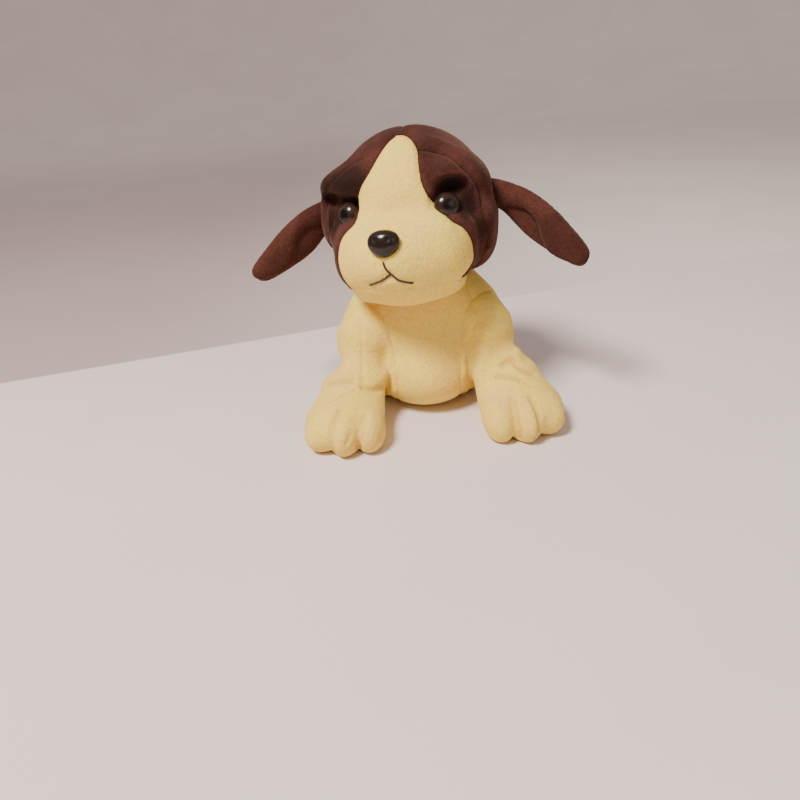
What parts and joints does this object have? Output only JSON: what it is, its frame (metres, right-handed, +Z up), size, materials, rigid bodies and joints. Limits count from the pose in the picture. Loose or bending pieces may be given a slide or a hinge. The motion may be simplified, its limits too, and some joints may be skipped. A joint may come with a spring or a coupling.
{
  "type": "plush puppy",
  "caption": "Seated plush puppy: cream body, brown hooded head, drooping ears, glossy eyes and nose, stitched mouth and toes, and soft limbs that bend.",
  "frame": {"origin": "centre of the seat on the floor", "axes": "+Z up, -Y the way the puppy faces, +X its own left side"},
  "size_m": [0.1803, 0.1605, 0.1594],
  "materials": {
    "cream_fleece": "short brushed pile, matt",
    "brown_velour": "short smooth pile, soft sheen",
    "polyester_fill": "loose white fibre",
    "brown_plastic": "high gloss, dark brown",
    "black_plastic": "high gloss, near black",
    "white_plastic": "plain moulded",
    "black_thread": "twisted embroidery thread",
    "cream_thread": "twisted sewing thread"
  },
  "bodies": {
    "torso": {"belly_panel": "cream_fleece", "side_panel_left": "cream_fleece", "side_panel_right": "cream_fleece", "seat_panel": "cream_fleece", "torso_filling": "polyester_fill"},
    "neck": {"neck_filling": "polyester_fill"},
    "head": {"face_panel": "cream_fleece", "chin_panel": "cream_fleece", "eye_patch_left": "brown_velour", "eye_patch_right": "brown_velour", "head_back_left": "brown_velour", "head_back_right": "brown_velour", "head_filling": "polyester_fill", "eye_left": "brown_plastic", "eye_left_washer": "white_plastic", "eye_right": "brown_plastic", "eye_right_washer": "white_plastic", "nose": "black_plastic", "nose_washer": "white_plastic", "mouth_thread": "black_thread"},
    "ear_left": {"ear_left_outer": "brown_velour", "ear_left_inner": "brown_velour"},
    "ear_right": {"ear_right_outer": "brown_velour", "ear_right_inner": "brown_velour"},
    "tail": {"tail_left_panel": "cream_fleece", "tail_right_panel": "cream_fleece", "tail_filling": "polyester_fill"},
    "front_leg_left": {"front_leg_left_outer_panel": "cream_fleece", "front_leg_left_inner_panel": "cream_fleece", "front_leg_left_filling": "polyester_fill", "front_leg_left_inner_toe_thread": "cream_thread", "front_leg_left_outer_toe_thread": "cream_thread"},
    "hind_leg_left": {"hind_leg_left_outer_panel": "cream_fleece", "hind_leg_left_inner_panel": "cream_fleece", "hind_leg_left_filling": "polyester_fill"},
    "front_leg_right": {"front_leg_right_outer_panel": "cream_fleece", "front_leg_right_inner_panel": "cream_fleece", "front_leg_right_filling": "polyester_fill", "front_leg_right_inner_toe_thread": "cream_thread", "front_leg_right_outer_toe_thread": "cream_thread"},
    "hind_leg_right": {"hind_leg_right_outer_panel": "cream_fleece", "hind_leg_right_inner_panel": "cream_fleece", "hind_leg_right_filling": "polyester_fill"}
  },
  "joints": [
    {"name": "head_turn", "type": "hinge", "parent": "torso", "child": "neck", "pos_m": [-0.003, -0.008, 0.112], "axis": [0, 0, 1], "range_deg": [-15, 15], "stiffness_Nm_per_rad": 0.1},
    {"name": "head_nod", "type": "hinge", "parent": "neck", "child": "head", "pos_m": [-0.003, -0.008, 0.112], "axis": [0.9613, -0.2756, 0], "range_deg": [-4, 8], "stiffness_Nm_per_rad": 0.2, "springref_deg": -1.72},
    {"name": "ear_left_flap", "type": "hinge", "parent": "head", "child": "ear_left", "pos_m": [0.04284, -0.02298, 0.12227], "axis": [-0.2756, -0.9613, 0], "range_deg": [-20, 50], "stiffness_Nm_per_rad": 0.01, "springref_deg": 1.72},
    {"name": "ear_right_flap", "type": "hinge", "parent": "head", "child": "ear_right", "pos_m": [-0.0473, 0.00286, 0.11571], "axis": [0.2756, 0.9613, 0], "range_deg": [-20, 50], "stiffness_Nm_per_rad": 0.01, "springref_deg": 1.72},
    {"name": "tail_wag", "type": "hinge", "parent": "torso", "child": "tail", "pos_m": [0, 0.043, 0.017], "axis": [0, 0, 1], "range_deg": [-35, 35], "stiffness_Nm_per_rad": 0.01},
    {"name": "front_leg_left_flex", "type": "hinge", "parent": "torso", "child": "front_leg_left", "pos_m": [0.036, -0.026, 0.05], "axis": [-1, 0, 0], "range_deg": [-4, 25], "stiffness_Nm_per_rad": 0.08, "springref_deg": 1.72},
    {"name": "front_leg_right_flex", "type": "hinge", "parent": "torso", "child": "front_leg_right", "pos_m": [-0.036, -0.026, 0.05], "axis": [-1, 0, 0], "range_deg": [-4, 25], "stiffness_Nm_per_rad": 0.08, "springref_deg": 1.72},
    {"name": "hind_leg_left_splay", "type": "hinge", "parent": "torso", "child": "hind_leg_left", "pos_m": [0.032, 0.018, 0.014], "axis": [0, 0, 1], "range_deg": [-3, 26], "stiffness_Nm_per_rad": 0.05},
    {"name": "hind_leg_right_splay", "type": "hinge", "parent": "torso", "child": "hind_leg_right", "pos_m": [-0.032, 0.018, 0.014], "axis": [0, 0, -1], "range_deg": [-3, 26], "stiffness_Nm_per_rad": 0.05}
  ]
}
